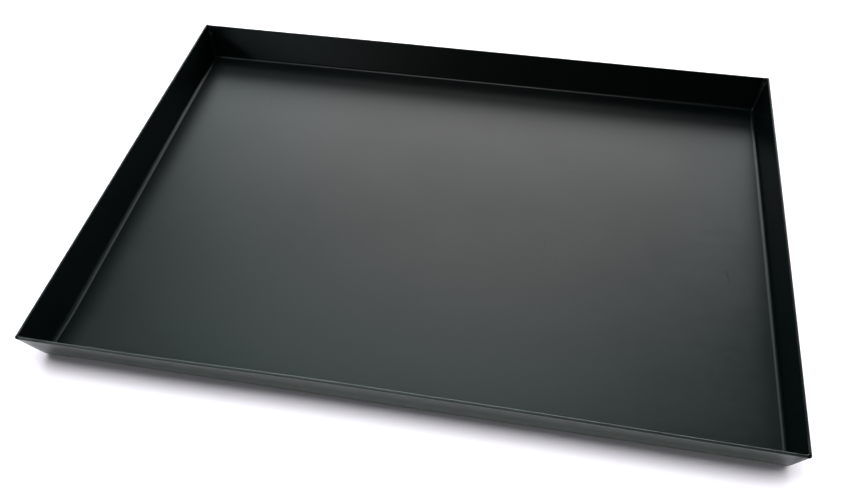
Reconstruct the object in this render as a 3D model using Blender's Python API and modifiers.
"""Folded sheet-steel tray: a pan bent up from one flat blank, with four flared walls, and a weld
closing the open seam at each corner.

Metres, +Z up. The origin is at the centre of the underside, +X along the long side and +Y towards
the rear wall. Pairs of values are indexed by axis: walls along axis 0 face X, along axis 1 face Y.
"""

import math

import bmesh
import bpy
from mathutils import Matrix, Vector

# Overall size, over the outer edges of the rim
RIM = (0.400, 0.300)
HEIGHT = 0.0230

# Sheet and folds
SHEET = 0.0015
FLARE = (math.radians(15.0), math.radians(21.5))  # how far the walls lean out from the vertical
BEND_RADIUS = 0.0025  # inside radius of the four folds
BEND_SEGMENTS = 8
EDGE_ROUND = 0.00025  # rounding left on the sheared edges
EDGE_SEGMENTS = 2
EDGE_ANGLE = math.radians(50)  # edges sharper than this are rounded

# Corners: the blank is notched there, so that its walls meet without the folds colliding
RELIEF = 0.0042  # how far the notch runs along each fold
SEAM_SETBACK = 0.0008  # each wall's edge stops this far short of the corner line
CLEARANCE = 0.0003  # gap between the weld and the sheet

# Block that bounds the weld, before the tray's shape is cut from it
REGION_WIDTH = 0.024
REGION_HEIGHT = 0.06
REGION_SHIFT = 0.006  # from the corner of the floor to the block's centre, in X and in Y

# How far the cutters stand above the rim
OUTSIDE_OVERRUN = 0.002
INSIDE_OVERRUN = 0.010
SPACE_OVERRUN = 0.004

SHARP_ANGLE = math.radians(40)  # shading breaks at edges sharper than this

# Inner face of the walls: sideways run per unit of height, and half the distance between folds
LEAN = tuple(math.tan(flare) for flare in FLARE)
WALL_HEIGHT = HEIGHT - SHEET
FLOOR = tuple(
    rim / 2 - SHEET * math.cos(flare) - WALL_HEIGHT * lean
    for rim, flare, lean in zip(RIM, FLARE, LEAN)
)


# Scene, objects and modifiers

def clear_scene():
    for obj in list(bpy.data.objects):
        bpy.data.objects.remove(obj, do_unlink=True)
    for collection in list(bpy.data.collections):
        bpy.data.collections.remove(collection)


def new_collection(name, hidden=False):
    collection = bpy.data.collections.new(name)
    bpy.context.scene.collection.children.link(collection)
    collection.hide_render = hidden
    return collection


def new_object(name, data, collection, parent=None):
    obj = bpy.data.objects.new(name, data)
    collection.objects.link(obj)
    obj.parent = parent
    return obj


def new_cutter(mesh, collection):
    """A helper object, named after its mesh and left out of renders."""
    obj = new_object(mesh.name, mesh, collection)
    obj.hide_render = True
    obj.display_type = "WIRE"
    return obj


def finish_mesh(shape, name):
    mesh = bpy.data.meshes.new(name)
    shape.to_mesh(mesh)
    shape.free()
    return mesh


def steel(name, colour, roughness):
    material = bpy.data.materials.new(name)
    material.use_nodes = True
    shader = material.node_tree.nodes["Principled BSDF"]
    shader.inputs["Base Color"].default_value = (*colour, 1.0)
    shader.inputs["Metallic"].default_value = 1.0
    shader.inputs["Roughness"].default_value = roughness
    material.diffuse_color = (*colour, 1.0)
    return material


def smooth(mesh):
    mesh.shade_smooth()
    mesh.set_sharp_from_angle(angle=SHARP_ANGLE)


def thicken(obj, thickness):
    """Gives an open sheet its thickness, outwards and downwards from the inner face."""
    modifier = obj.modifiers.new("Sheet", "SOLIDIFY")
    modifier.thickness = thickness
    modifier.offset = -1.0
    modifier.use_even_offset = True
    modifier.use_quality_normals = True


def boolean(obj, other, operation):
    modifier = obj.modifiers.new(other.name, "BOOLEAN")
    modifier.operation = operation
    modifier.object = other
    modifier.solver = "EXACT"


# Shapes

def round_folds(shape, edges, radius, flare):
    """Rounds edges between the floor and walls that lean out by `flare`."""
    bmesh.ops.bevel(
        shape,
        geom=edges,
        # How far from the fold line the rounding starts, on the floor and on the wall alike
        offset=radius * math.tan((math.pi / 2 - flare) / 2),
        offset_type="OFFSET",
        segments=BEND_SEGMENTS,
        profile=0.5,
        affect="EDGES",
    )


def wall_point(axis, side, along, height):
    """A point on one wall's inner plane, `height` above the floor's inner face."""
    across = side * (FLOOR[axis] + height * LEAN[axis])
    x, y = (across, along) if axis == 0 else (along, across)
    return Vector((x, y, SHEET + height))


def inner_surface(name, setback, relief, top):
    """The pan's inner face as an open sheet: a floor with cut-off corners and four folded walls.

    A wall ends in two edges that run beside the corner lines, `setback` short of them. Near the
    floor they cut back to the ends of the fold, which leaves the notch.
    """
    shape = bmesh.new()
    folds = ([], [])
    feet = {}
    for axis, side in ((0, 1), (1, 1), (0, -1), (1, -1)):
        reach = FLOOR[1 - axis]
        lean = LEAN[1 - axis]
        notch_top = (relief - setback) / (1 + lean)
        # Distance along the wall and height, from the fold up to the rim
        profile = (
            (reach - relief, 0.0),
            (reach + notch_top * lean - setback, notch_top),
            (reach + top * lean - setback, top),
        )
        outline = []
        for end in (-1, 1):
            corners = [
                shape.verts.new(wall_point(axis, side, end * along, height))
                for along, height in profile
            ]
            outline += corners if end < 0 else corners[::-1]
            feet[axis, side, end] = corners[0]
        shape.faces.new(outline)
        folds[axis].append(shape.edges.get((outline[0], outline[-1])))
    # Counter-clockwise from above, as (axis, side, end)
    floor_order = (
        (0, 1, -1), (0, 1, 1), (1, 1, 1), (1, 1, -1),
        (0, -1, 1), (0, -1, -1), (1, -1, -1), (1, -1, 1),
    )
    floor = shape.faces.new([feet[key] for key in floor_order])
    bmesh.ops.recalc_face_normals(shape, faces=shape.faces[:])
    if floor.normal.z < 0:
        bmesh.ops.reverse_faces(shape, faces=shape.faces[:])
    for edges, flare in zip(folds, FLARE):
        round_folds(shape, edges, BEND_RADIUS, flare)
    return finish_mesh(shape, name)


def flared_block(name, half_size, z_low, z_high, radius):
    """A solid block flared like the walls, its four leaning edges and its base edges rounded.

    half_size holds half its length and half its width at the height z_low.
    """
    shape = bmesh.new()
    bmesh.ops.create_cube(shape, size=2.0)
    for vert in shape.verts:
        z = z_high if vert.co.z > 0 else z_low
        x, y = (half + (z - z_low) * lean for half, lean in zip(half_size, LEAN))
        vert.co = Vector((math.copysign(x, vert.co.x), math.copysign(y, vert.co.y), z))
    rounded = [
        edge for edge in shape.edges if min(vert.co.z for vert in edge.verts) < z_low + 1e-6
    ]
    round_folds(shape, rounded, radius, sum(FLARE) / 2)
    bmesh.ops.recalc_face_normals(shape, faces=shape.faces[:])
    return finish_mesh(shape, name)


def region_block(name):
    """A plain block around the +X +Y corner."""
    shape = bmesh.new()
    bmesh.ops.create_cube(shape, size=1.0)
    centre = (FLOOR[0] + REGION_SHIFT, FLOOR[1] + REGION_SHIFT, HEIGHT / 2)
    size = (REGION_WIDTH, REGION_WIDTH, REGION_HEIGHT, 1)
    bmesh.ops.transform(
        shape, verts=shape.verts[:], matrix=Matrix.Translation(centre) @ Matrix.Diagonal(size)
    )
    return finish_mesh(shape, name)


def cut_above(mesh, point, normal):
    """Takes away what lies on the normal's side of the plane and closes the cut."""
    shape = bmesh.new()
    shape.from_mesh(mesh)
    found = bmesh.ops.bisect_plane(
        shape,
        geom=shape.verts[:] + shape.edges[:] + shape.faces[:],
        dist=1e-7,
        plane_co=point,
        plane_no=normal,
        clear_outer=True,
    )
    cut_edges = [item for item in found["geom_cut"] if isinstance(item, bmesh.types.BMEdge)]
    bmesh.ops.contextual_create(shape, geom=cut_edges)
    bmesh.ops.recalc_face_normals(shape, faces=shape.faces[:])
    shape.to_mesh(mesh)
    shape.free()


# Pieces

def build_pan(collection, parent, material):
    mesh = inner_surface("tray_pan", SEAM_SETBACK, RELIEF, WALL_HEIGHT)
    mesh.materials.append(material)
    pan = new_object("tray_pan", mesh, collection, parent)
    thicken(pan, SHEET)
    edges = pan.modifiers.new("Sheared edges", "BEVEL")
    edges.width = EDGE_ROUND
    edges.segments = EDGE_SEGMENTS
    edges.limit_method = "ANGLE"
    edges.angle_limit = EDGE_ANGLE
    smooth(mesh)


def weld_mesh(cutters, material):
    """The weld of the +X +Y corner, with its origin below the corner of the floor.

    It is the tray's wall thickness there, less the space that the notched pan takes.
    """
    # The outer faces reach the rim size at the rim's outer edge, which lies below HEIGHT
    outer_base = [
        rim / 2 - (HEIGHT - SHEET * math.sin(flare)) * lean
        for rim, flare, lean in zip(RIM, FLARE, LEAN)
    ]
    outer_mesh = flared_block(
        "corner_outside", outer_base, 0.0, HEIGHT + OUTSIDE_OVERRUN, BEND_RADIUS + SHEET
    )
    outer = new_cutter(outer_mesh, cutters)
    inner_mesh = flared_block("corner_inside", FLOOR, SHEET, HEIGHT + INSIDE_OVERRUN, BEND_RADIUS)
    inner = new_cutter(inner_mesh, cutters)
    region = new_cutter(region_block("corner_region"), cutters)

    # The pan again, thicker and reaching nearer the corner line
    space_mesh = inner_surface(
        "pan_space",
        setback=SEAM_SETBACK - CLEARANCE - SHEET * math.sin(FLARE[1]) * LEAN[1],
        relief=RELIEF - 2 * CLEARANCE,
        top=HEIGHT + SPACE_OVERRUN,
    )
    space = new_cutter(space_mesh, cutters)
    thicken(space, SHEET + 2 * CLEARANCE)
    space.location.z = CLEARANCE

    boolean(region, outer, "INTERSECT")
    boolean(region, inner, "DIFFERENCE")
    boolean(region, space, "DIFFERENCE")
    bpy.context.view_layer.update()
    graph = bpy.context.evaluated_depsgraph_get()
    weld = bpy.data.meshes.new_from_object(region.evaluated_get(graph), depsgraph=graph)
    weld.name = "corner_weld"

    # Trim square to each wall, then level with the top of the rim
    rim_corner = Vector((*(half + WALL_HEIGHT * lean for half, lean in zip(FLOOR, LEAN)), HEIGHT))
    cut_above(weld, rim_corner, Vector((math.sin(FLARE[0]), 0.0, math.cos(FLARE[0]))))
    cut_above(weld, rim_corner, Vector((0.0, math.sin(FLARE[1]), math.cos(FLARE[1]))))
    cut_above(weld, rim_corner, Vector((0.0, 0.0, 1.0)))
    weld.transform(Matrix.Translation((-FLOOR[0], -FLOOR[1], 0.0)))
    weld.materials.clear()
    weld.materials.append(material)
    smooth(weld)
    return weld


def build_welds(collection, cutters, parent, material):
    """Places one weld at two opposite corners and its mirror image at the other two."""
    weld = weld_mesh(cutters, material)
    mirrored = weld.copy()
    mirrored.name = "corner_weld_mirrored"
    mirrored.transform(Matrix.Diagonal((-1.0, 1.0, 1.0, 1.0)))
    mirrored.flip_normals()
    # Name, mesh, side in X, side in Y, rotation about Z
    for name, mesh, side_x, side_y, turn in (
        ("corner_weld_rear_right", weld, 1, 1, 0.0),
        ("corner_weld_front_left", weld, -1, -1, math.pi),
        ("corner_weld_rear_left", mirrored, -1, 1, 0.0),
        ("corner_weld_front_right", mirrored, 1, -1, math.pi),
    ):
        piece = new_object(name, mesh, collection, parent)
        piece.location = (side_x * FLOOR[0], side_y * FLOOR[1], 0.0)
        piece.rotation_euler = (0.0, 0.0, turn)


def main():
    clear_scene()
    parts = new_collection("folded_steel_tray")
    cutters = new_collection("cutters", hidden=True)
    blued = steel("blued_sheet_steel", colour=(0.012, 0.014, 0.014), roughness=0.32)
    blued_weld = steel("blued_weld", colour=(0.016, 0.018, 0.018), roughness=0.40)
    tray = new_object("tray", None, parts)
    build_pan(parts, tray, blued)
    build_welds(parts, cutters, tray, blued_weld)


main()
